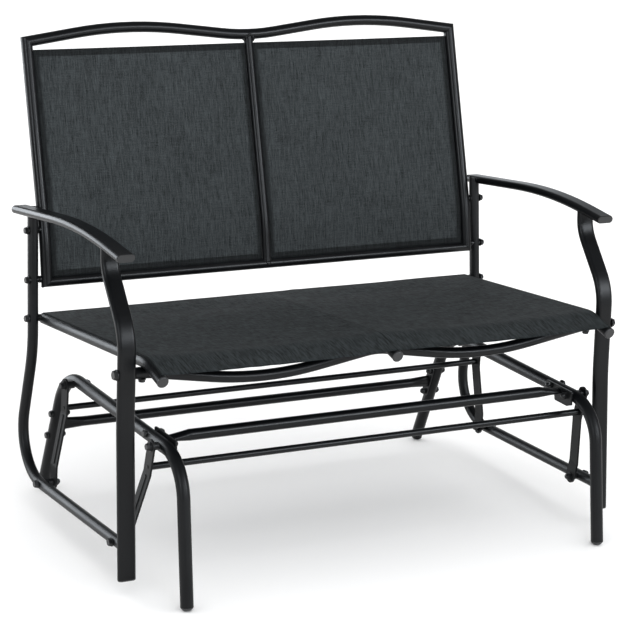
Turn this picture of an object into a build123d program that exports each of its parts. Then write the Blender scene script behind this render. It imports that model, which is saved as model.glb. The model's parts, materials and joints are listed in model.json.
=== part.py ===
from build123d import *
import os
from math import asin, atan, atan2, cos, degrees, radians, sin, sqrt, tan

# Two-seat patio glider bench. Millimetres, +Z up, +X to the sitter's left-right,
# the sitter faces -Y. The origin is on the floor under the middle of the bench.

# ---- driving dimensions -------------------------------------------------------
base_d = 25.0            # floor frame tube
base_wall = 1.6
base_rail_z = 278.5      # top rail of the floor frame
front_foot_x = 461.5     # the floor frames toe in slightly towards the back
rear_foot_x = 453.5
front_foot_y = -373.0
rear_foot_y = 312.0
foot_dome_r = 14.0
foot_centre_z = 13.0     # the domes' lowest millimetre is flat, to stand on

front_top = (-245.5, 279.0)      # link pivots, (y, z)
front_bottom = (-205.5, 83.55)
rear_top = (146.0, 275.3)
rear_bottom = (144.0, 75.8)
link_width = 27.0
link_thick = 4.0
link_x_top = 486.0
link_x_bottom = 505.0
pin_r = 4.0
pin_fit = 0.08           # running clearance of the pivot holes
open_fit = 1.5           # clearance of the lower front pivot holes

side_d = 21.5            # side frame tube: rear leg and lower rail in one bend
side_wall = 1.4
oval_w = 36.0            # flat oval tube of the front legs and the armrests
oval_h = 16.0
oval_wall = 1.5
leg_x = 534.0
arm_x = 532.5

seat_rail_d = 22.0
seat_rail_x = 496.0
back_rail_d = 23.0
back_rail_x = 494.0
rail_wall = 1.6
cross_d = 22.0
cross_z = 415.2
cross_y = -220.0
cloth = 1.6

os.makedirs("parts", exist_ok=True)


# ---- helpers ------------------------------------------------------------------
def bent(plane, points, radii):
    """Centre line of a bent tube: straight runs joined by tangent arcs."""
    with BuildLine(plane) as path:
        FilletPolyline(*points, radius=radii)
    return path.line


def round_tube(line, diameter, wall, mode=Mode.ADD):
    """Round tube along a centre line; wall 0 makes a solid bar."""
    with BuildSketch(Plane(origin=line @ 0, z_dir=line % 0)) as ring:
        Circle(diameter / 2)
        if wall:
            Circle(diameter / 2 - wall, mode=Mode.SUBTRACT)
    sweep(sections=ring.sketch, path=line, mode=mode)


def oval_tube(line, width, height, wall, mode=Mode.ADD):
    """Flat oval tube along a centre line, its long side across the bench."""
    with BuildSketch(Plane(origin=line @ 0, x_dir=(1, 0, 0), z_dir=line % 0)) as ring:
        SlotOverall(width, height)
        if wall:
            SlotOverall(width - 2 * wall, height - 2 * wall, mode=Mode.SUBTRACT)
    sweep(sections=ring.sketch, path=line, mode=mode)


def offset_bar(line, across, up, width, height, mode=Mode.ADD):
    """Flat strip along a centre line, shifted across the bench and off the line."""
    here = Plane(origin=line @ 0, x_dir=(1, 0, 0), z_dir=line % 0)
    with BuildSketch(here) as strip:
        with Locations((across, up)):
            Rectangle(width, height)
    sweep(sections=strip.sketch, path=line, mode=mode)


def offset_rod(line, across, up, radius):
    """Round rod along a centre line, shifted across the bench and off the line."""
    here = Plane(origin=line @ 0, x_dir=(1, 0, 0), z_dir=line % 0)
    with BuildSketch(here) as dot:
        with Locations((across, up)):
            Circle(radius)
    sweep(sections=dot.sketch, path=line)


def disc_x(x0, x1, y, z, radius, mode=Mode.ADD):
    """Cylinder along X from x0 to x1."""
    with BuildSketch(Plane.YZ.offset(min(x0, x1))) as disc:
        with Locations((y, z)):
            Circle(radius)
    extrude(disc.sketch, amount=abs(x1 - x0), mode=mode)


def ring_x(x0, x1, y, z, outer, inner):
    """Ring along X, such as a washer or a spacer."""
    with BuildSketch(Plane.YZ.offset(x0)) as ring:
        with Locations((y, z)):
            Circle(outer)
            Circle(inner, mode=Mode.SUBTRACT)
    extrude(ring.sketch, amount=x1 - x0)


def hex_bolt_x(y, z, tip, seat, shank_r, flats, height):
    """Bolt along +X: shank from tip to seat, flange and chamfered hexagon outside."""
    disc_x(tip, seat, y, z, shank_r)
    disc_x(seat, seat + 1.4, y, z, flats * 0.62)
    with BuildSketch(Plane.YZ.offset(seat + 1.4)) as head:
        with Locations((y, z)):
            RegularPolygon(flats / 2, 6, major_radius=False)
    extrude(head.sketch, amount=height - 1.4, taper=10)


def domed_nut_x(y, z, seat, shank_r, flats):
    """Domed nut whose flat face is at x = seat and whose dome points to -X."""
    with BuildSketch(Plane.YZ.offset(seat - 6.0)) as body:
        with Locations((y, z)):
            RegularPolygon(flats / 2, 6, major_radius=False)
    extrude(body.sketch, amount=6.0)
    with BuildSketch(Plane(origin=(seat - 6.0, y, z), x_dir=(-1, 0, 0), z_dir=(0, 0, 1))) as dome:
        with BuildLine():
            Line((0, 0), (5.0, 0))
            ThreePointArc((5.0, 0), (3.6, flats * 0.33), (0, flats * 0.46))
            Line((0, flats * 0.46), (0, 0))
        make_face()
    spin = Axis((seat - 6.0, y, z), (-1, 0, 0))
    revolve(dome.sketch, axis=spin)
    disc_x(seat - 7.5, seat, y, z, shank_r + 0.05, mode=Mode.SUBTRACT)


def both_sides(piece):
    """Right-hand solids and their mirror images, as one group."""
    add(piece)
    mirror(piece, about=Plane.YZ)


# ---- directions ---------------------------------------------------------------
toe = atan((front_foot_x - rear_foot_x) / (rear_foot_y - front_foot_y))
base_x0 = front_foot_x + front_foot_y * tan(toe)
base_plane = Plane(origin=(base_x0, 0, 0), x_dir=(-sin(toe), cos(toe), 0), z_dir=(cos(toe), sin(toe), 0))
front_lean = 0.178       # run per rise of the floor frame's legs
rear_lean = -0.35


def base_x(y):
    return base_x0 - y * tan(toe)


def foot_end(y_floor, lean, rise):
    """Point on a leg's line, at a distance along it from the centre of its foot dome."""
    length = sqrt(1 + lean * lean)
    y_c = y_floor + lean * foot_centre_z
    return (y_c + rise * lean / length, foot_centre_z + rise / length)


drop = sqrt(foot_dome_r ** 2 - (base_d / 2) ** 2)
rail_front_y = front_foot_y + front_lean * base_rail_z
rail_rear_y = rear_foot_y + rear_lean * base_rail_z
base_points = [
    foot_end(front_foot_y, front_lean, -drop),
    (rail_front_y, base_rail_z),
    (rail_rear_y, base_rail_z),
    foot_end(rear_foot_y, rear_lean, -drop),
]
saddle_bolt = (-189.7, 284.0)
leg_bolts = [(249.3, 180.0), (267.0, 128.6)]

# ---- floor frame --------------------------------------------------------------
with BuildPart() as base_frame_right:
    round_tube(bent(base_plane, base_points, [90, 100]), base_d, base_wall)
    for y, z in [front_top, rear_top] + [saddle_bolt] + leg_bolts:
        disc_x(430, 490, y, z, pin_r + 0.1, mode=Mode.SUBTRACT)

with BuildPart() as base_frame_left:
    mirror(base_frame_right.part, about=Plane.YZ)

with BuildPart() as foot_caps_right:
    for y_floor, lean in [(front_foot_y, front_lean), (rear_foot_y, rear_lean)]:
        y_c, z_c = foot_end(y_floor, lean, 0)
        up = Vector(0, lean, 1).normalized()
        centre = Vector(base_x(y_c), y_c, z_c)
        side = Plane(origin=centre, x_dir=(1, 0, 0), z_dir=Vector(1, 0, 0).cross(up))
        lip_r = base_d / 2 - 0.05
        plug_r = base_d / 2 - base_wall - 0.05
        lip_y = -sqrt(foot_dome_r ** 2 - lip_r ** 2)
        with BuildSketch(side) as cap:
            with BuildLine():
                Polyline((0, -foot_dome_r), (0, 9), (plug_r, 9), (plug_r, lip_y), (lip_r, lip_y))
                CenterArc((0, 0), foot_dome_r, -90, degrees(asin(lip_r / foot_dome_r)))
            make_face()
        revolve(cap.sketch, axis=Axis(centre, up))

with BuildPart() as foot_caps:
    both_sides(foot_caps_right.part)
    with BuildSketch(Plane.XY) as floor:
        Rectangle(1200, 1000)
    extrude(floor.sketch, amount=-20, mode=Mode.SUBTRACT)

# crossbar between the front saddles, its ends pressed flat
bar_front = (-218.0, 282.3)
bar_rear = (258.0, 154.0)
with BuildPart() as front_crossbar:
    disc_x(-395, 395, bar_front[0], bar_front[1], 11.1)
    disc_x(-395, 395, bar_front[0], bar_front[1], 9.6, mode=Mode.SUBTRACT)
    for s in (-1, 1):
        with BuildSketch(Plane.YZ.offset(s * 395)) as neck:
            with Locations(bar_front):
                Circle(11.1)
        with BuildSketch(Plane.YZ.offset(s * 442.9)) as tip:
            with Locations((bar_front[0], bar_front[1] - 2.5)):
                Ellipse(12.5, 4.5)
        loft(sections=[neck.sketch, tip.sketch])

with BuildPart() as rear_crossbar:
    disc_x(-395, 395, bar_rear[0], bar_rear[1], 10.1)
    disc_x(-395, 395, bar_rear[0], bar_rear[1], 8.6, mode=Mode.SUBTRACT)
    for s in (-1, 1):
        with BuildSketch(Plane.YZ.offset(s * 395)) as neck:
            with Locations(bar_rear):
                Circle(10.1)
        with BuildSketch(Plane.YZ.offset(s * 438.1)) as tip:
            with Locations(bar_rear):
                Ellipse(5.5, 13.0)
        loft(sections=[neck.sketch, tip.sketch])

# plates that carry the crossbars' ends
saddle_out = base_x(-170) - base_d / 2 - 0.1
with BuildPart() as saddle_plate_right:
    with BuildSketch(Plane.YZ.offset(443.0)):
        with BuildLine():
            Polyline((-266, 264), (-252, 258), (-209, 258), (-205, 276), (-176, 276), (-176, 291.5),
                     (-266, 291.5), close=True)
        make_face()
        fillet(vertices(), 3)
    extrude(amount=saddle_out - 443.0)
    with BuildSketch(Plane.YZ.offset(saddle_out)):
        with BuildLine():
            Polyline((-252, 258), (-207, 258), (-207, 261), (-252, 261), close=True)
        make_face()
    extrude(amount=11)
    for y, z in (front_top, saddle_bolt):
        disc_x(440, 452, y, z, pin_r + 0.1, mode=Mode.SUBTRACT)

with BuildPart() as saddle_plate_left:
    mirror(saddle_plate_right.part, about=Plane.YZ)

with BuildPart() as rear_plates_right:
    inner = base_x(268) - base_d / 2 - 0.1
    mid = ((leg_bolts[0][0] + leg_bolts[1][0]) / 2, (leg_bolts[0][1] + leg_bolts[1][1]) / 2)
    tilt = degrees(atan2(leg_bolts[0][1] - leg_bolts[1][1], leg_bolts[0][0] - leg_bolts[1][0]))
    with BuildSketch(Plane.YZ.offset(438.2)):
        with Locations(Location((mid[0], mid[1], 0), (0, 0, tilt))):
            SlotOverall(76, 20)
    extrude(amount=inner - 438.2)
    for y, z in leg_bolts:
        disc_x(430, 445, y, z, pin_r + 0.1, mode=Mode.SUBTRACT)

with BuildPart() as rear_bar_plates:
    both_sides(rear_plates_right.part)

# fasteners of the floor frame
with BuildPart() as saddle_bolts_right:
    hex_bolt_x(*saddle_bolt, 435.6, base_x(saddle_bolt[0]) + base_d / 2 + 0.1, pin_r, 12, 5.5)

with BuildPart() as saddle_bolts:
    both_sides(saddle_bolts_right.part)

with BuildPart() as saddle_nuts_right:
    domed_nut_x(*saddle_bolt, 442.9, pin_r, 12)

with BuildPart() as saddle_nuts:
    both_sides(saddle_nuts_right.part)

with BuildPart() as rear_leg_bolts_right:
    for y, z in leg_bolts:
        hex_bolt_x(y, z, 430.8, base_x(y) + base_d / 2 + 0.1, pin_r, 12, 5.5)

with BuildPart() as rear_leg_bolts:
    both_sides(rear_leg_bolts_right.part)

with BuildPart() as rear_leg_nuts_right:
    for y, z in leg_bolts:
        domed_nut_x(y, z, 438.1, pin_r, 12)

with BuildPart() as rear_leg_nuts:
    both_sides(rear_leg_nuts_right.part)

# upper pivots: bolt, domed nut, spacer and washer, all fixed to the floor frame
top_inner = {front_top: 442.9, rear_top: base_x(rear_top[0]) - base_d / 2 - 0.1}
link_in = link_x_top - link_thick / 2
link_out = link_x_top + link_thick / 2
with BuildPart() as top_pivot_bolts_right:
    for y, z in (front_top, rear_top):
        hex_bolt_x(y, z, top_inner[(y, z)] - 7.4, link_out + 2.2, pin_r, 13, 7)

with BuildPart() as top_pivot_bolts:
    both_sides(top_pivot_bolts_right.part)

with BuildPart() as top_pivot_nuts_right:
    for y, z in (front_top, rear_top):
        domed_nut_x(y, z, top_inner[(y, z)], pin_r, 13)

with BuildPart() as top_pivot_nuts:
    both_sides(top_pivot_nuts_right.part)

with BuildPart() as top_spacers_right:
    for y, z in (front_top, rear_top):
        ring_x(base_x(y) + base_d / 2 + 0.1, link_in - 0.3, y, z, 7.5, pin_r + 0.05)

with BuildPart() as top_spacers:
    both_sides(top_spacers_right.part)

with BuildPart() as top_washers_right:
    for y, z in (front_top, rear_top):
        ring_x(link_out + 0.3, link_out + 2.1, y, z, 9.5, pin_r + 0.05)

with BuildPart() as top_washers:
    both_sides(top_washers_right.part)

# ---- swinging links -----------------------------------------------------------
front_rod_drop = 43.4    # tie rods below the upper pivots, along the links
rear_rod_drop = 46.4
rod_pin_r = 3.5


def link(top, bottom, rod_drop, bottom_fit):
    """Pressed flat link: round ends, a step outwards and a raised rib."""
    dy = bottom[0] - top[0]
    dz = bottom[1] - top[1]
    length = sqrt(dy * dy + dz * dz)
    along = Vector(0, dy / length, dz / length)
    face = Plane(origin=(470, top[0], top[1]), x_dir=along, z_dir=(1, 0, 0))
    with BuildSketch(face) as outline:
        with Locations((length / 2, 0)):
            SlotCenterToCenter(length, link_width)
    extrude(outline.sketch, amount=50)
    edge = Plane(origin=(0, top[0], top[1]), x_dir=along, z_dir=along.cross(Vector(1, 0, 0)))
    a, b = 56.0, length - 34.0
    lo, hi = -link_thick / 2, link_thick / 2
    x_t, x_b = link_x_top, link_x_bottom
    with BuildSketch(edge) as step:
        with BuildLine():
            Polyline(
                (-20, x_t + lo), (a, x_t + lo), (b, x_b + lo), (length + 20, x_b + lo),
                (length + 20, x_b + hi), (b, x_b + hi), (a, x_t + hi), (-20, x_t + hi), close=True)
        make_face()
    extrude(step.sketch, amount=30, both=True, mode=Mode.INTERSECT)
    slope = Vector(x_b - x_t, 0, 0) + along * (b - a)
    out = Vector(1, 0, 0) - along * ((x_b - x_t) / (b - a))
    middle = Vector(0, top[0], top[1]) + along * ((a + b) / 2) + Vector((x_t + x_b) / 2, 0, 0)
    rib_plane = Plane(origin=middle + out.normalized() * (hi - 0.5), x_dir=slope.normalized(), z_dir=out)
    with BuildSketch(rib_plane) as rib:
        SlotOverall(b - a - 6, 8)
    extrude(rib.sketch, amount=2.3, taper=25)
    rod = Vector(0, top[0], top[1]) + along * rod_drop
    disc_x(470, 520, top[0], top[1], pin_r + pin_fit, mode=Mode.SUBTRACT)
    disc_x(470, 520, rod.Y, rod.Z, rod_pin_r + 0.05, mode=Mode.SUBTRACT)
    disc_x(470, 520, bottom[0], bottom[1], pin_r + bottom_fit, mode=Mode.SUBTRACT)


def rod_centre(top, bottom, rod_drop):
    dy = bottom[0] - top[0]
    dz = bottom[1] - top[1]
    length = sqrt(dy * dy + dz * dz)
    return (top[0] + dy / length * rod_drop, top[1] + dz / length * rod_drop)


with BuildPart() as front_link_right:
    link(front_top, front_bottom, front_rod_drop, open_fit)

with BuildPart() as front_link_left:
    mirror(front_link_right.part, about=Plane.YZ)

with BuildPart() as rear_link_right:
    link(rear_top, rear_bottom, rear_rod_drop, pin_fit)

with BuildPart() as rear_link_left:
    mirror(rear_link_right.part, about=Plane.YZ)

with BuildPart() as front_tie_rod:
    rod_y, rod_z = rod_centre(front_top, front_bottom, front_rod_drop)
    disc_x(-link_in + 0.1, link_in - 0.1, rod_y, rod_z, 6.7)
    disc_x(-link_out - 1.2, link_out + 1.2, rod_y, rod_z, rod_pin_r)

with BuildPart() as rear_tie_rod:
    rod_y, rod_z = rod_centre(rear_top, rear_bottom, rear_rod_drop)
    disc_x(-link_in + 0.1, link_in - 0.1, rod_y, rod_z, 6.1)
    disc_x(-link_out - 1.2, link_out + 1.2, rod_y, rod_z, rod_pin_r)

# ---- side frames of the seat --------------------------------------------------
lean = atan(10.5 / 520.0)
side_plane = Plane(origin=(530.1, 0, 0), x_dir=(0, 1, 0), z_dir=(cos(lean), 0, sin(lean)))
leg_lean = atan(2.2 / 360.0)
leg_plane = Plane(origin=(leg_x + 2.4, 0, 0), x_dir=(0, 1, 0), z_dir=(cos(leg_lean), 0, sin(leg_lean)))
arm_plane = Plane(origin=(arm_x, 0, 0), x_dir=(0, 1, 0), z_dir=(1, 0, 0))
side_points = [(260, 616), (224.5, 330), (276, 68.5), (-262, 85)]
leg_points = [(-268.6, 33), (-233, 315), (-222, 489), (-136, 592), (-131, 645)]
arm_points = [(287, 602.6), (-20.3, 644.6), (-201, 628.9)]


def side_x(z):
    return 530.1 - z * tan(lean)


with BuildPart() as armrest_right:
    oval_tube(bent(arm_plane, arm_points, [1130]), oval_w + 1, oval_h, oval_wall)

with BuildPart() as armrest_left:
    mirror(armrest_right.part, about=Plane.YZ)

with BuildPart() as arm_shape:
    oval_tube(bent(arm_plane, arm_points, [1130]), oval_w + 1.2, oval_h + 0.2, 0)

with BuildPart() as leg_shape:
    oval_tube(bent(leg_plane, leg_points, [900, 110, 80]), oval_w + 0.2, oval_h + 0.2, 0)

big_bolt = (-225.0, 417.0)
with BuildPart() as front_leg_right:
    oval_tube(bent(leg_plane, leg_points, [900, 110, 80]), oval_w, oval_h, oval_wall)
    add(arm_shape.part, mode=Mode.SUBTRACT)
    with BuildSketch(Plane.XY.offset(636)) as above:
        with Locations((leg_x, -131)):
            Rectangle(60, 60)
    extrude(above.sketch, amount=30, mode=Mode.SUBTRACT)
    disc_x(510, 560, *big_bolt, pin_r + 0.6, mode=Mode.SUBTRACT)

with BuildPart() as front_leg_left:
    mirror(front_leg_right.part, about=Plane.YZ)

side_bolts = [(252.5, 567.0), (237.0, 470.0), (230.0, 393.0)]
with BuildPart() as side_frame_right:
    round_tube(bent(side_plane, side_points, [260, 100]), side_d, side_wall)
    add(arm_shape.part, mode=Mode.SUBTRACT)
    add(leg_shape.part, mode=Mode.SUBTRACT)
    with BuildSketch(Plane.XY.offset(612)) as above:
        with Locations((518, 259)):
            Rectangle(60, 60)
    extrude(above.sketch, amount=30, mode=Mode.SUBTRACT)
    for y, z in side_bolts + [front_bottom, rear_bottom]:
        disc_x(500, 550, y, z, pin_r + 0.1, mode=Mode.SUBTRACT)

with BuildPart() as side_frame_left:
    mirror(side_frame_right.part, about=Plane.YZ)


def oval_plug(point, towards, depth, lip, width, height, wall):
    """Plug of an oval tube's end: a thin lip outside and a block inside."""
    end = Plane(origin=point, x_dir=(1, 0, 0), z_dir=towards)
    with BuildSketch(end) as outside:
        SlotOverall(width, height)
    extrude(outside.sketch, amount=lip, taper=20)
    with BuildSketch(end) as inside:
        SlotOverall(width - 2 * wall - 0.2, height - 2 * wall - 0.2)
    extrude(inside.sketch, amount=-depth)


with BuildPart() as arm_plugs_right:
    arm_line = bent(arm_plane, arm_points, [1130])
    oval_plug(arm_line @ 0 - (arm_line % 0) * 0.05, (arm_line % 0) * -1, 14, 2.2, oval_w + 1, oval_h, oval_wall)
    oval_plug(arm_line @ 1 + (arm_line % 1) * 0.05, arm_line % 1, 14, 2.2, oval_w + 1, oval_h, oval_wall)

with BuildPart() as arm_plugs:
    both_sides(arm_plugs_right.part)

with BuildPart() as leg_plugs_right:
    leg_line = bent(leg_plane, leg_points, [900, 110, 80])
    oval_plug(leg_line @ 0 - (leg_line % 0) * 0.05, (leg_line % 0) * -1, 14, 2.5, oval_w, oval_h, oval_wall)

with BuildPart() as leg_plugs:
    both_sides(leg_plugs_right.part)

# lower pivots: bolt, spacer and domed nut, all fixed to the side frames
low_in = link_x_bottom - link_thick / 2
low_out = link_x_bottom + link_thick / 2
with BuildPart() as low_pivot_bolts_right:
    for y, z in (front_bottom, rear_bottom):
        hex_bolt_x(y, z, low_in - 7.8, side_x(z) + side_d / 2 + 0.1, pin_r, 14, 8)

with BuildPart() as low_pivot_bolts:
    both_sides(low_pivot_bolts_right.part)

with BuildPart() as low_pivot_nuts_right:
    for y, z in (front_bottom, rear_bottom):
        domed_nut_x(y, z, low_in - 0.3, pin_r, 13)
        ring_x(low_in - 1.6, low_in - 0.3, y, z, 9.0, pin_r + 0.05)

with BuildPart() as low_pivot_nuts:
    both_sides(low_pivot_nuts_right.part)

with BuildPart() as low_spacers_right:
    for y, z in (front_bottom, rear_bottom):
        ring_x(low_out + 0.3, side_x(z) - side_d / 2 - 0.1, y, z, 8.0, pin_r + 0.05)

with BuildPart() as low_spacers:
    both_sides(low_spacers_right.part)

# ---- seat ---------------------------------------------------------------------
rail_points = [(238, 388.2), (-233, 437.7), (-299, 421.2)]
rail_radius = 80.0


def rail_line(x, points=rail_points, radius=rail_radius):
    return bent(Plane(origin=(x, 0, 0), x_dir=(0, 1, 0), z_dir=(1, 0, 0)), points, [radius])


def seat_rail(x):
    round_tube(rail_line(x), seat_rail_d, rail_wall)


with BuildPart() as seat_rail_right:
    seat_rail(seat_rail_x)
    disc_x(500, 515, *side_bolts[2], pin_r + 0.1, mode=Mode.SUBTRACT)
    with BuildSketch(Plane.XY.offset(420)):
        with Locations((498, -218)):
            Circle(3.1)
    extrude(amount=17, mode=Mode.SUBTRACT)

with BuildPart() as seat_rail_left:
    mirror(seat_rail_right.part, about=Plane.YZ)

with BuildPart() as seat_rail_centre:
    seat_rail(0)


def round_plug(point, towards, depth, lip, radius, wall):
    """Domed cap of a round tube's end with a plug inside the tube."""
    end = Plane(origin=point, x_dir=(1, 0, 0), z_dir=towards)
    with BuildSketch(end) as outside:
        Circle(radius)
    extrude(outside.sketch, amount=lip)
    fillet(edges().filter_by(GeomType.CIRCLE).sort_by(lambda e: -(e.center() - point).dot(towards))[0], lip * 0.8)
    with BuildSketch(end) as inside:
        Circle(radius - wall - 0.6)
    extrude(inside.sketch, amount=-depth)


with BuildPart() as front_cap:
    end_line = rail_line(0)
    round_plug(end_line @ 1 + (end_line % 1) * 0.05, end_line % 1, 5, 3.5, seat_rail_d / 2 + 0.5, rail_wall)

with BuildPart() as rear_cap:
    end_line = rail_line(0)
    round_plug(end_line @ 0 - (end_line % 0) * 0.05, (end_line % 0) * -1, 3, 2.5, seat_rail_d / 2, rail_wall)

with BuildPart() as rail_caps_front:
    with Locations((-seat_rail_x, 0, 0), (0, 0, 0), (seat_rail_x, 0, 0)):
        add(front_cap.part)

with BuildPart() as rail_caps_rear:
    with Locations((-seat_rail_x, 0, 0), (0, 0, 0), (seat_rail_x, 0, 0)):
        add(rear_cap.part)

cross_points = [
    (-515.8, cross_z), (-490, cross_z), (-243, cross_z - 40), (0, cross_z),
    (243, cross_z - 40), (490, cross_z), (515.8, cross_z),
]
cross_plane = Plane(origin=(0, cross_y, 0), x_dir=(1, 0, 0), z_dir=(0, -1, 0))
with BuildPart() as front_cross_tube:
    round_tube(bent(cross_plane, cross_points, [150, 700, 150, 700, 150]), cross_d, 1.5)
    with BuildSketch(Plane.XY.offset(400)):
        with Locations((-498, -218), (498, -218)):
            Circle(3.1)
    extrude(amount=30, mode=Mode.SUBTRACT)

with BuildPart() as cross_tube_plugs_right:
    disc_x(500.5 + 3, 515.7, cross_y, cross_z, cross_d / 2 - 1.6)
    disc_x(490, 530, *big_bolt, pin_r + 0.05, mode=Mode.SUBTRACT)

with BuildPart() as cross_tube_plugs:
    both_sides(cross_tube_plugs_right.part)

with BuildPart() as front_leg_bolts_right:
    hex_bolt_x(*big_bolt, 504, leg_x + oval_w / 2 + 0.1, pin_r, 17, 8)

with BuildPart() as front_leg_bolts:
    both_sides(front_leg_bolts_right.part)

with BuildPart() as rail_bolts:
    with Locations((-498, -218, 0), (498, -218, 0)):
        with Locations((0, 0, 417)):
            Cylinder(3, 29)
        with Locations((0, 0, 399.2)):
            Cylinder(6.5, 5.2)
    fillet(edges().group_by(Axis.Z)[0], 2)

with BuildPart() as rail_washers:
    with Locations((-498, -218, 402.6), (498, -218, 402.6)):
        Cylinder(8, 1.4)
        Cylinder(3.05, 3, mode=Mode.SUBTRACT)

with BuildPart() as rear_cross_tube:
    disc_x(-seat_rail_x + seat_rail_d / 2 + 0.1, -seat_rail_d / 2 - 0.1, 198, 388, 9.5)
    disc_x(seat_rail_d / 2 + 0.1, seat_rail_x - seat_rail_d / 2 - 0.1, 198, 388, 9.5)
    disc_x(-480, 480, 198, 388, 8.1, mode=Mode.SUBTRACT)

# one field of cloth over the three rails, down over their front bends
sling_points = [(236, 388.5), (-233, 437.7), (-294, 422.4)]
with BuildPart() as seat_sling:
    line = rail_line(0, sling_points)
    offset_bar(line, 0, seat_rail_d / 2 + 0.2 + cloth / 2, 2 * 499.0, cloth)

with BuildPart() as seat_sling_rods:
    for x in (-seat_rail_x, seat_rail_x):
        line = rail_line(x, [(222, 389.9), (-233, 437.7), (-292, 422.9)])
        offset_rod(line, 0, seat_rail_d / 2 - rail_wall - 2.3, 2.1)

# ---- backrest -----------------------------------------------------------------
top_y = 373.5
recline = (top_y - 250.5) / (929.0 - 548.0)
beta = atan(recline)
corner = Vector(back_rail_x, top_y - 9.5 * recline, 919.5)
up_back = Vector(0, sin(beta), cos(beta))
back_points = [(top_y + 20 * recline, 949), (250.5, 548), (229.4, 444)]
top_rail_d = 22.0
top_plane = Plane(origin=(0, corner.Y, corner.Z), x_dir=(1, 0, 0), z_dir=Vector(1, 0, 0).cross(up_back))
hump = 30.8
dip = -2.4
top_points = [(-back_rail_x - 30, -3.9), (-272, hump), (0, dip), (272, hump), (back_rail_x + 30, -3.9)]
rise = Vector(-(back_rail_x + 30 - 272), 0, 0) + up_back * (hump + 3.9)
mitre = (rise.normalized() + up_back).normalized()


def mitre_plane(side):
    """Plane of the upper corner joint between a back rail and the top rail."""
    return Plane(origin=(side * corner.X, corner.Y, corner.Z), z_dir=(side * mitre.X, mitre.Y, mitre.Z))


low_rail_r = 9.5
low_rail = (233.0, 463.7)
slant = atan2(low_rail_r, back_rail_d / 2)


def low_mitre(side):
    """Plane of the lower corner joint; its normal points at the back rail."""
    origin = (side * back_rail_x, low_rail[0], low_rail[1])
    return Plane(origin=origin, x_dir=(0, 1, 0), z_dir=(side * sin(slant), 0, cos(slant)))


with BuildPart() as back_rail_right:
    line = bent(Plane(origin=(back_rail_x, 0, 0), x_dir=(0, 1, 0), z_dir=(1, 0, 0)), back_points, [400])
    round_tube(line, back_rail_d, rail_wall)
    split(bisect_by=mitre_plane(1).offset(-0.05), keep=Keep.BOTTOM)
    split(bisect_by=low_mitre(1).offset(0.05), keep=Keep.TOP)
    for y, z in side_bolts[:2]:
        disc_x(498, 510, y, z, pin_r + 0.1, mode=Mode.SUBTRACT)

with BuildPart() as back_rail_left:
    mirror(back_rail_right.part, about=Plane.YZ)

with BuildPart() as back_top_rail:
    line = bent(top_plane, top_points, [900, 500, 900])
    round_tube(line, top_rail_d, 1.5)
    split(bisect_by=mitre_plane(1).offset(0.05), keep=Keep.TOP)
    split(bisect_by=mitre_plane(-1).offset(0.05), keep=Keep.TOP)

with BuildPart() as top_rail_shape:
    round_tube(bent(top_plane, top_points, [900, 500, 900]), top_rail_d + 0.2, 0)

with BuildPart() as back_bottom_rail:
    disc_x(-back_rail_x - 14, back_rail_x + 14, *low_rail, low_rail_r)
    disc_x(-back_rail_x - 20, back_rail_x + 20, *low_rail, low_rail_r - 1.5, mode=Mode.SUBTRACT)
    split(bisect_by=low_mitre(1).offset(-0.05), keep=Keep.BOTTOM)
    split(bisect_by=low_mitre(-1).offset(-0.05), keep=Keep.BOTTOM)

# the middle post is coped to the two rails it is welded to
post_points = [(top_y - 10 * recline, 919), (250.5, 548), (231.5, 464)]
with BuildPart() as back_post:
    round_tube(bent(Plane.YZ, post_points, [400]), 19.0, 1.5)
    add(top_rail_shape.part, mode=Mode.SUBTRACT)
    disc_x(-20, 20, *low_rail, low_rail_r + 0.1, mode=Mode.SUBTRACT)
    with BuildSketch(Plane.XZ.offset(-300)):
        with Locations((0, 463)):
            Rectangle(60, 16)
    extrude(amount=100, both=True, mode=Mode.SUBTRACT)

cloth_line_points = [(top_y - 25 * recline, 904), (250.5, 548), (234.6, 474.6)]
cloth_from = 8.5
cloth_to = back_rail_x - back_rail_d / 2 - 0.2
with BuildPart() as back_sling_right:
    line = bent(Plane.YZ, cloth_line_points, [400])
    offset_bar(line, (cloth_from + 1.3 + cloth_to) / 2, 0, cloth_to - cloth_from - 1.3, cloth)

with BuildPart() as back_sling_left:
    mirror(back_sling_right.part, about=Plane.YZ)

with BuildPart() as back_sling_rods:
    for x in (-back_rail_x + 7.0, back_rail_x - 7.0):
        line = bent(Plane.YZ, [(top_y - 27.5 * recline, 901.5), (250.5, 548), (235.2, 477)], [400])
        offset_rod(line, x, 0, 2.1)

# bolts that hold the backrest and the seat rails to the rear legs
with BuildPart() as side_bolts_right:
    for y, z in side_bolts:
        hex_bolt_x(y, z, 498.5, side_x(z) + side_d / 2 + 0.3, pin_r, 13, 7.5)

with BuildPart() as rear_side_bolts:
    both_sides(side_bolts_right.part)

with BuildPart() as side_spacers_right:
    for (y, z), outer in zip(side_bolts, (506.1, 506.1, 507.1)):
        ring_x(outer, side_x(z) - side_d / 2 - 0.3, y, z, 7.0, pin_r + 0.05)

with BuildPart() as rear_side_spacers:
    both_sides(side_spacers_right.part)

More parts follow.
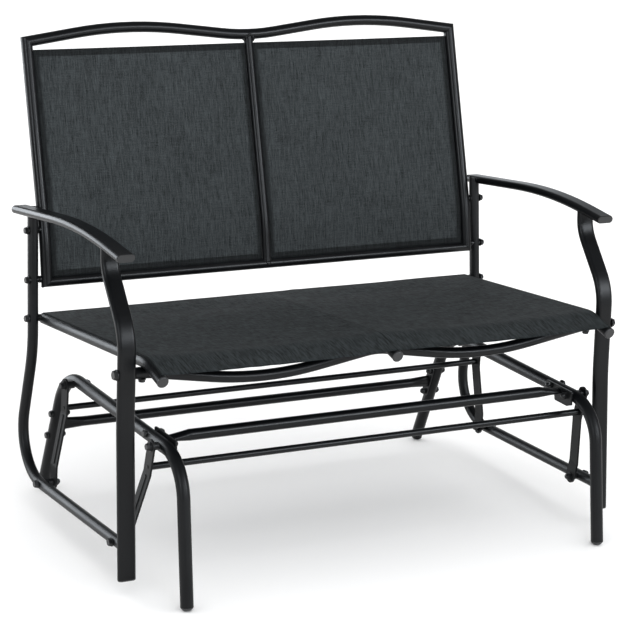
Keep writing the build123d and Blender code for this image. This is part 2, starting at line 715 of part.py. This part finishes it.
# ---- names and files ----------------------------------------------------------
pieces = {
    "base_frame_left": base_frame_left, "base_frame_right": base_frame_right,
    "foot_caps": foot_caps, "front_crossbar": front_crossbar, "rear_crossbar": rear_crossbar,
    "saddle_plate_left": saddle_plate_left, "saddle_plate_right": saddle_plate_right,
    "rear_bar_plates": rear_bar_plates, "saddle_bolts": saddle_bolts, "saddle_nuts": saddle_nuts,
    "rear_leg_bolts": rear_leg_bolts, "rear_leg_nuts": rear_leg_nuts,
    "top_pivot_bolts": top_pivot_bolts, "top_pivot_nuts": top_pivot_nuts,
    "top_spacers": top_spacers, "top_washers": top_washers,
    "front_link_left": front_link_left, "front_link_right": front_link_right,
    "rear_link_left": rear_link_left, "rear_link_right": rear_link_right,
    "front_tie_rod": front_tie_rod, "rear_tie_rod": rear_tie_rod,
    "armrest_left": armrest_left, "armrest_right": armrest_right, "arm_plugs": arm_plugs,
    "front_leg_left": front_leg_left, "front_leg_right": front_leg_right, "leg_plugs": leg_plugs,
    "side_frame_left": side_frame_left, "side_frame_right": side_frame_right,
    "low_pivot_bolts": low_pivot_bolts, "low_pivot_nuts": low_pivot_nuts, "low_spacers": low_spacers,
    "seat_rail_left": seat_rail_left, "seat_rail_right": seat_rail_right,
    "seat_rail_centre": seat_rail_centre,
    "rail_caps_front": rail_caps_front, "rail_caps_rear": rail_caps_rear,
    "front_cross_tube": front_cross_tube, "cross_tube_plugs": cross_tube_plugs,
    "front_leg_bolts": front_leg_bolts, "rail_bolts": rail_bolts, "rail_washers": rail_washers,
    "rear_cross_tube": rear_cross_tube, "seat_sling": seat_sling, "seat_sling_rods": seat_sling_rods,
    "back_rail_left": back_rail_left, "back_rail_right": back_rail_right,
    "back_top_rail": back_top_rail, "back_bottom_rail": back_bottom_rail, "back_post": back_post,
    "back_sling_left": back_sling_left, "back_sling_right": back_sling_right,
    "back_sling_rods": back_sling_rods, "rear_side_bolts": rear_side_bolts,
    "rear_side_spacers": rear_side_spacers,
}
for name, piece in pieces.items():
    piece.part.label = name
    export_step(piece.part, "parts/" + name + ".step")

boxes = [piece.part.bounding_box() for piece in pieces.values()]
print("y from", round(min(b.min.Y for b in boxes), 2), "to", round(max(b.max.Y for b in boxes), 2))
print("z from", round(min(b.min.Z for b in boxes), 2), "to", round(max(b.max.Z for b in boxes), 2))
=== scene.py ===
import json
import math
import bpy
import bmesh
from mathutils import Matrix, Vector, noise


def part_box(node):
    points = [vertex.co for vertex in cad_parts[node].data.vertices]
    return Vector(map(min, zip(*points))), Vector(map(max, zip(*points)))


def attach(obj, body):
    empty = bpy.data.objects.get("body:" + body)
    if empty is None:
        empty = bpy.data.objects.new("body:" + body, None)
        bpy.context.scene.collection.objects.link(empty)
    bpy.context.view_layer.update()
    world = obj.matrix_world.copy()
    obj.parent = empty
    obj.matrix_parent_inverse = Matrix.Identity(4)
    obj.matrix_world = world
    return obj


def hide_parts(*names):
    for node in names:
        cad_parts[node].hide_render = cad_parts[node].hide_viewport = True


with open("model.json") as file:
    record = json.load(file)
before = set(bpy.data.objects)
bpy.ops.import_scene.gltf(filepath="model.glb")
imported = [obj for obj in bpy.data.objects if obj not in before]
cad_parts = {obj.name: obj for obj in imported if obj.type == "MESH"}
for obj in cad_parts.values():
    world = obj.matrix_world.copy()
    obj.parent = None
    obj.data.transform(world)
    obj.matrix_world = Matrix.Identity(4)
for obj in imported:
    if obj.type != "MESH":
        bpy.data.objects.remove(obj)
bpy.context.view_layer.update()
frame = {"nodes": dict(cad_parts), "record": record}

nodes = frame["nodes"]


# ---- node helpers -------------------------------------------------------------
def material(name):
    mat = bpy.data.materials.new(name)
    mat.use_nodes = True
    return mat, mat.node_tree, mat.node_tree.nodes["Principled BSDF"]


def node(tree, kind, **values):
    made = tree.nodes.new(kind)
    for key, value in values.items():
        setattr(made, key, value)
    return made


def scaled(tree, source, scale):
    m = node(tree, "ShaderNodeMapping")
    m.inputs["Scale"].default_value = scale
    tree.links.new(source, m.inputs["Vector"])
    return m.outputs["Vector"]


def noise_tex(tree, vector, scale, detail=3.0, rough=0.5):
    n = node(tree, "ShaderNodeTexNoise")
    n.inputs["Scale"].default_value = scale
    n.inputs["Detail"].default_value = detail
    n.inputs["Roughness"].default_value = rough
    tree.links.new(vector, n.inputs["Vector"])
    return n.outputs["Fac"]


def remap(tree, source, a, b, c, d):
    m = node(tree, "ShaderNodeMapRange")
    for key, value in zip(("From Min", "From Max", "To Min", "To Max"), (a, b, c, d)):
        m.inputs[key].default_value = value
    tree.links.new(source, m.inputs["Value"])
    return m.outputs["Result"]


def maths(tree, op, a, b=None):
    m = node(tree, "ShaderNodeMath", operation=op)
    for i, v in enumerate((a, b)):
        if v is None:
            continue
        if isinstance(v, (int, float)):
            m.inputs[i].default_value = v
        else:
            tree.links.new(v, m.inputs[i])
    return m.outputs[0]


def mix_colour(tree, fac, a, b):
    m = node(tree, "ShaderNodeMix", data_type="RGBA")
    tree.links.new(fac, m.inputs["Factor"])
    for key, v in ((6, a), (7, b)):
        if isinstance(v, (tuple, list)):
            m.inputs[key].default_value = (*v, 1)
        else:
            tree.links.new(v, m.inputs[key])
    return m.outputs[2]


def bump(tree, height, strength, distance, into):
    b = node(tree, "ShaderNodeBump")
    b.inputs["Strength"].default_value = strength
    b.inputs["Distance"].default_value = distance
    tree.links.new(height, b.inputs["Height"])
    tree.links.new(b.outputs["Normal"], into.inputs["Normal"])


# ---- materials ----------------------------------------------------------------
def painted(name, dark, light, rough, gloss=0.20, peel=0.025, fade=(0.55, 0.95)):
    """Powder coat: fine orange peel, faint clouds of tone and gloss, a little bare on edges."""
    mat, tree, bsdf = material(name)
    where = node(tree, "ShaderNodeTexCoord").outputs["Object"]
    clouds = noise_tex(tree, where, 9.0, 4.0)
    grain = noise_tex(tree, where, 900.0, 2.0)
    tone = remap(tree, clouds, 0.3, 0.7, 0.0, 1.0)
    base = mix_colour(tree, tone, dark, light)
    speck = remap(tree, grain, 0.62, 0.75, 0.0, 0.15)
    lighter = tuple(min(1.0, c * 2.2) for c in light)
    base = mix_colour(tree, speck, base, lighter)
    sharp = node(tree, "ShaderNodeNewGeometry").outputs["Pointiness"]
    worn = maths(tree, "MULTIPLY", remap(tree, sharp, 0.56, 0.68, 0.0, 0.35), tone)
    tree.links.new(mix_colour(tree, worn, base, (0.045, 0.045, 0.046)), bsdf.inputs["Base Color"])
    tree.links.new(remap(tree, clouds, 0.25, 0.75, rough - 0.04, rough + 0.05), bsdf.inputs["Roughness"])
    facing = node(tree, "ShaderNodeLayerWeight").outputs["Facing"]
    tree.links.new(remap(tree, facing, *fade, gloss, 0.03), bsdf.inputs["Specular IOR Level"])
    bsdf.inputs["IOR"].default_value = 1.5
    bump(tree, grain, peel, 0.00012, bsdf)
    return mat


# One black coat, with its gloss faded towards grazing angles by a different amount for each kind
# of tube.
coat = ((0.0018, 0.0021, 0.0026), (0.0034, 0.0038, 0.0045))
paint = painted("powder_coat", *coat, 0.31)
rail_paint = painted("rail_coat", *coat, 0.42, fade=(0.78, 1.0))
arm_paint = painted("arm_coat", *coat, 0.34, fade=(0.92, 1.0))
link_paint = painted("link_coat", (0.0035, 0.0038, 0.0042), (0.0065, 0.0069, 0.0075), 0.38,
                     gloss=0.13)
bolt_paint = painted("black_zinc", (0.004, 0.0042, 0.0046), (0.009, 0.0092, 0.010), 0.30,
                     gloss=0.32, peel=0.08)


def moulded(name, dark, light, rough):
    """Moulded plastic: fine pebble grain and faint flow clouds."""
    mat, tree, bsdf = material(name)
    where = node(tree, "ShaderNodeTexCoord").outputs["Object"]
    clouds = noise_tex(tree, where, 22.0, 3.0)
    cells = node(tree, "ShaderNodeTexVoronoi")
    cells.inputs["Scale"].default_value = 1100.0
    tree.links.new(where, cells.inputs["Vector"])
    base = mix_colour(tree, remap(tree, clouds, 0.3, 0.7, 0, 1), dark, light)
    tree.links.new(base, bsdf.inputs["Base Color"])
    tree.links.new(remap(tree, clouds, 0.3, 0.7, rough - 0.05, rough + 0.05), bsdf.inputs["Roughness"])
    bump(tree, cells.outputs["Distance"], 0.25, 0.0001, bsdf)
    return mat


plug_plastic = moulded("plug_plastic", (0.007, 0.0073, 0.0078), (0.011, 0.0115, 0.0122), 0.36)
plastic = moulded("cap_plastic", (0.012, 0.0124, 0.013), (0.020, 0.0205, 0.0215), 0.42)
rod_plastic = moulded("edge_rod", (0.10, 0.105, 0.11), (0.14, 0.145, 0.15), 0.5)


hem_share = 0.62         # how much a hem darkens the cloth


def yarn_index(tree, uv, per_metre, across):
    """UV with one axis stepped yarn by yarn, so that every yarn gets its own slubs."""
    split = node(tree, "ShaderNodeSeparateXYZ")
    tree.links.new(uv, split.inputs[0])
    join = node(tree, "ShaderNodeCombineXYZ")
    for axis in (0, 1):
        value = maths(tree, "MULTIPLY", split.outputs[axis], per_metre[axis])
        if axis == across:
            value = maths(tree, "MULTIPLY", maths(tree, "FLOOR", value), 5.37)
        tree.links.new(value, join.inputs[axis])
    join.inputs[2].default_value = 3.1 + 8.0 * across
    return join.outputs[0]


def woven(name, dark, light, along, fine, weft, shares, hem_u=(), hem_v=(),
          spread=(0.32, 0.68), roll=None):
    """Coated mesh cloth. UV is in metres: U across the bench, V along the cloth's length.
    Yarns run both ways, fine and weft per metre, with slubs that change along times a metre.
    shares weighs the yarns along V, the yarns across and the knots. Over the V range roll the
    yarns across give way to ones along V, lightened by a painted sheen. Hems are double
    cloth, so darker and closed."""
    mat, tree, bsdf = material(name)
    uv = node(tree, "ShaderNodeTexCoord").outputs["UV"]
    slub = noise_tex(tree, yarn_index(tree, uv, (fine, along), 0), 1.0, 2.0, 0.6)
    slub_wide = noise_tex(tree, scaled(tree, uv, (170, along * 0.3, 1)), 1.0, 2.0)
    cross = noise_tex(tree, yarn_index(tree, uv, (along, weft), 1), 1.0, 2.0, 0.6)
    clouds = noise_tex(tree, scaled(tree, uv, (7, 7, 1)), 1.0, 4.0)
    waves = []
    for axis, pitch in (("X", 0.0016), ("Y", 0.0016)):
        wave = node(tree, "ShaderNodeTexWave", bands_direction=axis)
        wave.inputs["Scale"].default_value = 1.0 / pitch / 20.0 * math.pi
        wave.inputs["Distortion"].default_value = 0.35
        tree.links.new(uv, wave.inputs["Vector"])
        waves.append(wave.outputs["Fac"])
    yarns = maths(tree, "MULTIPLY", waves[0], waves[1])
    low, high = spread
    second = remap(tree, cross, low, high, 0.0, 1.0)
    split = node(tree, "ShaderNodeSeparateXYZ")
    tree.links.new(uv, split.inputs[0])
    if roll:
        flat = remap(tree, split.outputs["Y"], *roll, 1.0, 0.0)
        roll_yarns_and_sheen = maths(tree, "SUBTRACT", 1.0, flat)
        fine_slub = noise_tex(tree, yarn_index(tree, uv, (fine * 1.7, along * 0.7), 0), 1.0, 2.0, 0.6)
        lengthways = remap(tree, fine_slub, low - 0.06, high + 0.06, 0.0, 1.0)
        # On the roll the lengthwise yarns get 0.2 more tone: a painted sheen on the seat's rolled front.
        second = maths(tree, "ADD", maths(tree, "MULTIPLY", second, flat),
                       maths(tree, "MULTIPLY", maths(tree, "ADD", lengthways, 0.2), roll_yarns_and_sheen))
    knots = noise_tex(tree, scaled(tree, uv, (470, 470, 1)), 1.0, 1.0)
    layers = ((remap(tree, slub, low, high, 0.0, 1.0), shares[0]),
              (second, shares[1]),
              (remap(tree, knots, 0.35, 0.65, 0.0, 1.0), shares[2]),
              (remap(tree, slub_wide, 0.3, 0.7, 0.0, 1.0), 0.06),
              (remap(tree, clouds, 0.3, 0.7, 0.0, 1.0), 0.06),
              (yarns, 0.10))
    tone = None
    for layer, share in layers:
        part = maths(tree, "MULTIPLY", layer, share)
        tone = part if tone is None else maths(tree, "ADD", tone, part)
    colour = mix_colour(tree, tone, dark, light)
    hem = None
    for socket, edges in ((split.outputs["X"], hem_u), (split.outputs["Y"], hem_v)):
        for at, width, soft in edges:
            away = maths(tree, "ABSOLUTE", maths(tree, "SUBTRACT", socket, at))
            band = remap(tree, away, width - soft, width + soft, 1.0, 0.0)
            hem = band if hem is None else maths(tree, "MAXIMUM", hem, band)
    if hem is not None:
        colour = mix_colour(tree, maths(tree, "MULTIPLY", hem, hem_share), colour, dark)
    tree.links.new(colour, bsdf.inputs["Base Color"])
    bsdf.inputs["Roughness"].default_value = 0.78
    bsdf.inputs["Sheen Weight"].default_value = 0.02
    bsdf.inputs["Sheen Roughness"].default_value = 0.45
    bsdf.inputs["Specular IOR Level"].default_value = 0.07
    height = maths(tree, "ADD", yarns, maths(tree, "MULTIPLY", maths(tree, "ADD", slub, cross), 0.8))
    bump(tree, height, 0.55, 0.0004, bsdf)
    return mat


# ---- CAD nodes keep their shape and get their materials -------------------------
slots = {s["node"]: s["material_slot"] for s in frame["record"]["subparts"]}
finish = {"frame_paint": paint, "link_steel": link_paint, "fastener": bolt_paint,
          "cap_plastic": plastic, "edge_rod": rod_plastic, "sling_cloth": paint}
by_name = ((("arm_plugs",), plug_plastic), (("armrest_",), arm_paint),
           (("base_frame_", "side_frame_", "seat_rail_"), rail_paint))
for name, obj in nodes.items():
    special = [mat for starts, mat in by_name if name.startswith(starts)]
    obj.data.materials.clear()
    obj.data.materials.append(special[0] if special else finish[slots[name]])


# ---- mesh helpers -------------------------------------------------------------
def make_object(name, mesh, mat, body):
    obj = bpy.data.objects.new(name, mesh)
    bpy.context.scene.collection.objects.link(obj)
    mesh.materials.append(mat)
    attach(obj, body)
    return obj


def arc_path(points, radii, step=0.006):
    """Points, about a step apart, along straight runs joined by tangent arcs."""
    pts = [Vector(p) for p in points]
    out = [pts[0]]
    for i in range(1, len(pts) - 1):
        a, b, c = pts[i - 1], pts[i], pts[i + 1]
        u, v = (a - b).normalized(), (c - b).normalized()
        half = u.angle(v) / 2
        r = radii[i - 1]
        reach = r / math.tan(half)
        centre = b + (u + v).normalized() * (r / math.sin(half))
        start, end = b + u * reach, b + v * reach
        turn = (start - centre).angle(end - centre)
        count = max(4, int(turn * r / step))
        e1 = (start - centre).normalized()
        e2 = ((end - centre) - e1 * ((end - centre).dot(e1))).normalized()
        for k in range(count + 1):
            t = turn * k / count
            out.append(centre + (e1 * math.cos(t) + e2 * math.sin(t)) * r)
    out.append(pts[-1])
    dense = [out[0]]
    for p in out[1:]:
        gap = (p - dense[-1]).length
        parts = max(1, int(gap / step))
        origin = dense[-1]
        for k in range(1, parts + 1):
            dense.append(origin + (p - origin) * (k / parts))
    return dense


def cloth_sheet(name, path, across, shape, thickness, mat, body, nodes_out, columns):
    """A closed thin sheet: rows along the path, columns across the bench, UV in metres.
    shape(u, v, length) gives how far a point stands off the path's surface."""
    lengths = [0.0]
    for a, b in zip(path, path[1:]):
        lengths.append(lengths[-1] + (b - a).length)
    total = lengths[-1]
    normals = []
    for i in range(len(path)):
        a, b = path[max(0, i - 1)], path[min(len(path) - 1, i + 1)]
        d = (b - a).normalized()
        normals.append(Vector((0, -d.z, d.y)) if d.y > 0 else Vector((0, d.z, -d.y)))
    bm = bmesh.new()
    uv_layer = bm.loops.layers.uv.new("UVMap")
    grids = []
    for side in (0.5, -0.5):
        grid = []
        for i, p in enumerate(path):
            row = []
            for j in range(columns + 1):
                u = across[0] + (across[1] - across[0]) * j / columns
                off = shape(u, lengths[i], total)
                q = p + normals[i] * (off + side * thickness)
                row.append(bm.verts.new((u, q.y, q.z)))
            grid.append(row)
        grids.append(grid)
    rows = len(path)

    def face(verts, uvs):
        f = bm.faces.new(verts)
        f.smooth = True
        for loop, uv in zip(f.loops, uvs):
            loop[uv_layer].uv = uv

    def uv_at(i, j):
        return (across[0] + (across[1] - across[0]) * j / columns, lengths[i])

    for g, flip in ((0, False), (1, True)):
        for i in range(rows - 1):
            for j in range(columns):
                quad = [(i, j), (i, j + 1), (i + 1, j + 1), (i + 1, j)]
                if flip:
                    quad.reverse()
                face([grids[g][a][b] for a, b in quad], [uv_at(a, b) for a, b in quad])
    ring = [(i, 0) for i in range(rows)] + [(rows - 1, j) for j in range(1, columns + 1)]
    ring += [(i, columns) for i in range(rows - 2, -1, -1)] + [(0, j) for j in range(columns - 1, 0, -1)]
    for k in range(len(ring)):
        a, b = ring[k], ring[(k + 1) % len(ring)]
        face([grids[0][a[0]][a[1]], grids[1][a[0]][a[1]], grids[1][b[0]][b[1]], grids[0][b[0]][b[1]]],
             [uv_at(*a), uv_at(*a), uv_at(*b), uv_at(*b)])
    bmesh.ops.recalc_face_normals(bm, faces=bm.faces)
    mesh = bpy.data.meshes.new(name)
    bm.to_mesh(mesh)
    bm.free()
    obj = make_object(name, mesh, mat, body)
    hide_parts(*nodes_out)
    return obj, total


def smooth01(x):
    x = max(0.0, min(1.0, x))
    return x * x * (3 - 2 * x)


# ---- weld beads ---------------------------------------------------------------
def bead(name, points, radius, body, closed=False, seed=0.0):
    """A lumpy weld bead along a line of points."""
    pts = [Vector(p) for p in points]
    count = len(pts)
    bm = bmesh.new()
    rings = []
    for i, p in enumerate(pts):
        a = pts[(i - 1) % count] if closed or i else pts[0]
        b = pts[(i + 1) % count] if closed or i < count - 1 else pts[-1]
        d = (b - a).normalized()
        side = d.orthogonal().normalized()
        other = d.cross(side)
        swell = 1.0 + 0.22 * math.sin(i * 1.9 + seed) + 0.1 * noise.noise(p * 300)
        end = 0.35 if not closed and i in (0, count - 1) else 1.0
        r = radius * swell * end
        rings.append([bm.verts.new(p + (side * math.cos(t) + other * math.sin(t)) * r)
                      for t in (k * math.pi / 4 for k in range(8))])
    pairs = list(zip(rings, rings[1:])) + ([(rings[-1], rings[0])] if closed else [])
    for r0, r1 in pairs:
        if closed and r0 is rings[-1]:
            base = min(range(8), key=lambda s: (r1[s].co - r0[0].co).length)
            r1 = r1[base:] + r1[:base]
        for k in range(8):
            f = bm.faces.new((r0[k], r0[(k + 1) % 8], r1[(k + 1) % 8], r1[k]))
            f.smooth = True
    if not closed:
        bm.faces.new(list(reversed(rings[0])))
        bm.faces.new(rings[-1])
    bmesh.ops.recalc_face_normals(bm, faces=bm.faces)
    mesh = bpy.data.meshes.new(name)
    bm.to_mesh(mesh)
    bm.free()
    return make_object(name, mesh, weld_paint, body)


def saddle_ring(centre, axis, r_post, rail_axis, r_rail, count=28):
    """Where a tube of r_post meets a rail's round side: a saddle-shaped ring."""
    axis, rail = Vector(axis).normalized(), Vector(rail_axis).normalized()
    side = axis.cross(rail).normalized()
    ring = []
    for k in range(count):
        t = 2 * math.pi * k / count
        a, b = math.cos(t) * r_post, math.sin(t) * r_post
        rise = math.sqrt(max(0.0, r_rail ** 2 - min(b, r_rail) ** 2))
        ring.append(Vector(centre) + rail * a + side * b + axis * rise)
    return ring


weld_paint = painted("weld_coat", (0.004, 0.0043, 0.005), (0.007, 0.0075, 0.0082), 0.36, peel=0.2)
across_bench = (1, 0, 0)
lo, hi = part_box("back_bottom_rail")
low_centre = Vector((0, (lo.y + hi.y) / 2, (lo.z + hi.z) / 2))
low_ring = saddle_ring(low_centre, (0, 0.2, 1), 0.0100, across_bench, 0.0095)
bead("weld_post_low", low_ring, 0.0016, "seat", True)

# The top rail's centre over the post, from the lowest corner of its box.
lo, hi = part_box("back_top_rail")
top_centre = Vector((0, lo.y + 0.0114, lo.z + 0.0125))
top_ring = saddle_ring(top_centre, (0, -0.32, -1), 0.0107, across_bench, 0.0112)
bead("weld_post_top", top_ring, 0.0024, "seat", True)

gusset_centre = top_centre + Vector((0, 0.0019, 0.0075))
gusset_steps = 7
gusset_bulge = 0.0016
for side, name in ((1, "right"), (-1, "left")):
    start = gusset_centre + Vector((side * 0.0185, -0.0050, -0.0095))
    stop = gusset_centre + Vector((side * 0.0085, -0.0105, -0.0235))
    line = []
    for k in range(gusset_steps + 1):
        t = k / gusset_steps
        line.append(start.lerp(stop, t) + Vector((0, 0, gusset_bulge * math.sin(math.pi * t))))
    bead("gusset_" + name, line, 0.0026, "seat")


# ---- seat cloth ---------------------------------------------------------------
rail_r = 0.011           # the seat rails, under the cloth
cloth_t = 0.0010
black = (0.0, 0.0, 0.0)  # the weave's gaps
lo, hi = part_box("seat_sling")
seat_half = hi.x
seat_path = arc_path([(0, 0.236, 0.3885), (0, -0.233, 0.4377), (0, -0.295, 0.4222)], [0.080], 0.005)
rail_x = 0.496           # side rails, from the middle


def seat_shape(u, v, total):
    """The cloth rests on three rails, sags a little between them and pulls tight at its edges."""
    span = rail_x / 2
    t = abs((abs(u) - span) / span)
    sag = max(0.0, 1 - t * t)
    depth = 0.0065 * smooth01(v / 0.10) * (0.55 + 0.45 * smooth01((total - v) / 0.10))
    ripple = noise.noise(Vector((u * 9.0, v * 5.0, 1.7))) * 0.0010 * sag
    edge = smooth01((total - v) / 0.03)
    flutter = noise.noise(Vector((u * 30.0, 3.1, 0.2))) * 0.0012 * (1 - edge) * sag
    pull = math.exp(-((u + 0.02 + (v - 0.25) * 0.35) / 0.012) ** 2) * 0.0008
    return rail_r + 0.0004 - depth * sag + ripple + flutter + pull


# Hems at both sides and a thin dark seam over the middle rail.
side_hem, seam = (0.004, 0.002), (0.0014, 0.0012)
# The seat is painted darker than the back, which is the same cloth: painted shade, since the seat faces
# the light from above.
shaded_seat_cloth = woven("shaded_seat_weave", black, (0.0290, 0.0352, 0.0375), 40, 470, 190,
                   shares=(0.44, 0.36, 0.06),
                   hem_u=((seat_half, *side_hem), (-seat_half, *side_hem), (0.0, *seam)),
                   hem_v=((0.0, 0.012, 0.001),), spread=(0.39, 0.61), roll=(0.42, 0.47))
seat_sling, seat_len = cloth_sheet("shaded_seat_cloth", seat_path, (-seat_half, seat_half), seat_shape,
                                   cloth_t, shaded_seat_cloth, "seat", ["seat_sling"], 220)

# ---- back cloth ---------------------------------------------------------------
recline = (373.5 - 250.5) / (929.0 - 548.0)      # how far the back leans for its height
back_path = arc_path([(0, 0.3735 - 0.025 * recline, 0.904), (0, 0.2505, 0.548), (0, 0.2350, 0.4715)],
                     [0.400], 0.006)
back_path.reverse()


def back_shape(side):
    lo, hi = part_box("back_sling_right")

    def shape(u, v, total):
        a = (abs(u) - lo.x) / (hi.x - lo.x)
        bow = max(0.0, 4 * a * (1 - a))
        hem = 1 - smooth01((min(v, total - v) - 0.013) / 0.0015)
        rim = 1 - smooth01((min(abs(u) - lo.x, hi.x - abs(u)) - 0.012) / 0.002)
        ripple = noise.noise(Vector((u * 7.0 + side, v * 4.0, 4.2))) * 0.0008 * bow
        near_top = smooth01((v - total + 0.05) / 0.05)
        wave = noise.noise(Vector((u * 14.0, side * 3.0, 9.0))) * 0.0010 * bow * near_top
        return -0.0030 * bow + 0.0005 * max(hem, rim) + ripple + wave
    return shape


lo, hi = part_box("back_sling_right")
for side, name in ((1, "right"), (-1, "left")):
    total = sum((b - a).length for a, b in zip(back_path, back_path[1:]))
    cloth = woven("back_weave_" + name, black, (0.0640, 0.0735, 0.0775), 34, 760, 760,
                  shares=(0.46, 0.18, 0.24),
                  hem_u=((side * lo.x, 0.010, 0.003), (side * hi.x, 0.012, 0.003)),
                  hem_v=((0.0, 0.014, 0.0008), (total, 0.014, 0.0008)))
    across = (side * lo.x, side * hi.x) if side > 0 else (side * hi.x, side * lo.x)
    sheet, length = cloth_sheet("back_cloth_" + name, back_path, across, back_shape(side),
                                cloth_t, cloth, "seat", ["back_sling_" + name], 110)


# ---- floor, light and camera ----------------------------------------------------
def floor_material():
    mat, tree, bsdf = material("pale_floor")
    where = node(tree, "ShaderNodeTexCoord").outputs["Object"]
    clouds = noise_tex(tree, where, 0.6, 3.0)
    base = mix_colour(tree, clouds, (0.90, 0.90, 0.90), (0.92, 0.92, 0.92))
    tree.links.new(base, bsdf.inputs["Base Color"])
    bsdf.inputs["Roughness"].default_value = 0.9
    bsdf.inputs["Specular IOR Level"].default_value = 0.1
    return mat


bm = bmesh.new()
far = 30
corners = [bm.verts.new((x, y, 0)) for x, y in ((-far, -far), (far, -far), (far, far), (-far, far))]
bm.faces.new(corners)
floor_mesh = bpy.data.meshes.new("floor")
bm.to_mesh(floor_mesh)
bm.free()
floor = bpy.data.objects.new("floor", floor_mesh)
bpy.context.scene.collection.objects.link(floor)
floor_mesh.materials.append(floor_material())


def area_light(name, at, to, size, power, colour=(0.89, 0.945, 1.0), diffuse=True):
    data = bpy.data.lights.new(name, "AREA")
    data.shape = "RECTANGLE"
    data.size, data.size_y = size
    data.energy = power
    data.color = colour
    obj = bpy.data.objects.new(name, data)
    obj.location = at
    obj.rotation_euler = (Vector(to) - Vector(at)).to_track_quat("-Z", "Y").to_euler()
    obj.visible_diffuse = diffuse
    bpy.context.scene.collection.objects.link(obj)
    return obj


# Soft boxes that only gloss, then one fill and one dome that only shade.
area_light("back_left_soft", (-2.6, 3.9, 1.1), (0, 0, 0.4), (4.6, 2.6), 290, diffuse=False)
area_light("back_right_low", (3.0, 5.0, 1.5), (0.2, 0, 0.5), (3.2, 3.0), 27, diffuse=False)
area_light("front_right_soft", (2.5, -3.9, 2.2), (0, 0, 0.45), (2.0, 1.3), 140, diffuse=False)
area_light("front_left_strip", (-4.9, -2.6, 2.3), (0, 0, 0.6), (1.1, 1.7), 90, diffuse=False)
area_light("front_strip", (-0.4, -5.6, 2.5), (0, 0, 0.6), (1.1, 1.7), 100, diffuse=False)

fill = area_light("front_fill", (-1.6, -6.0, 2.3), (0, 0, 0.2), (3.4, 2.0), 120)
fill.visible_glossy = False

dome = bpy.data.lights.new("dome", "SUN")
dome.energy = 4.0
dome.angle = math.radians(175)
dome_light = bpy.data.objects.new("dome", dome)
dome_light.rotation_euler = (math.radians(-14), math.radians(6), 0)
dome_light.visible_glossy = False
bpy.context.scene.collection.objects.link(dome_light)

world = bpy.data.worlds.new("studio")
bpy.context.scene.world = world
world.use_nodes = True
world.node_tree.nodes["Background"].inputs["Color"].default_value = (1, 1, 1, 1)
world.node_tree.nodes["Background"].inputs["Strength"].default_value = 0.18

camera_data = bpy.data.cameras.new("camera")
camera_data.sensor_width = 36.0
camera_data.lens = 138.0
camera_data.dof.use_dof = False
camera = bpy.data.objects.new("camera", camera_data)
bpy.context.scene.collection.objects.link(camera)
azimuth, elevation, roll = (math.radians(d) for d in (-30.354, 16.134, 3.672))
target = Vector((-0.073217, -0.098, 0.455622))
back = Vector((math.sin(azimuth) * math.cos(elevation), -math.cos(azimuth) * math.cos(elevation),
               math.sin(elevation)))
right = Vector((math.cos(azimuth), math.sin(azimuth), 0))
upward = back.cross(right)
right, upward = (right * math.cos(roll) + upward * math.sin(roll),
                 upward * math.cos(roll) - right * math.sin(roll))
place = Matrix((right, upward, back)).transposed().to_4x4()
place.translation = target + back * 4.689483
camera.matrix_world = place
bpy.context.scene.camera = camera
bpy.context.scene.view_settings.view_transform = "Standard"
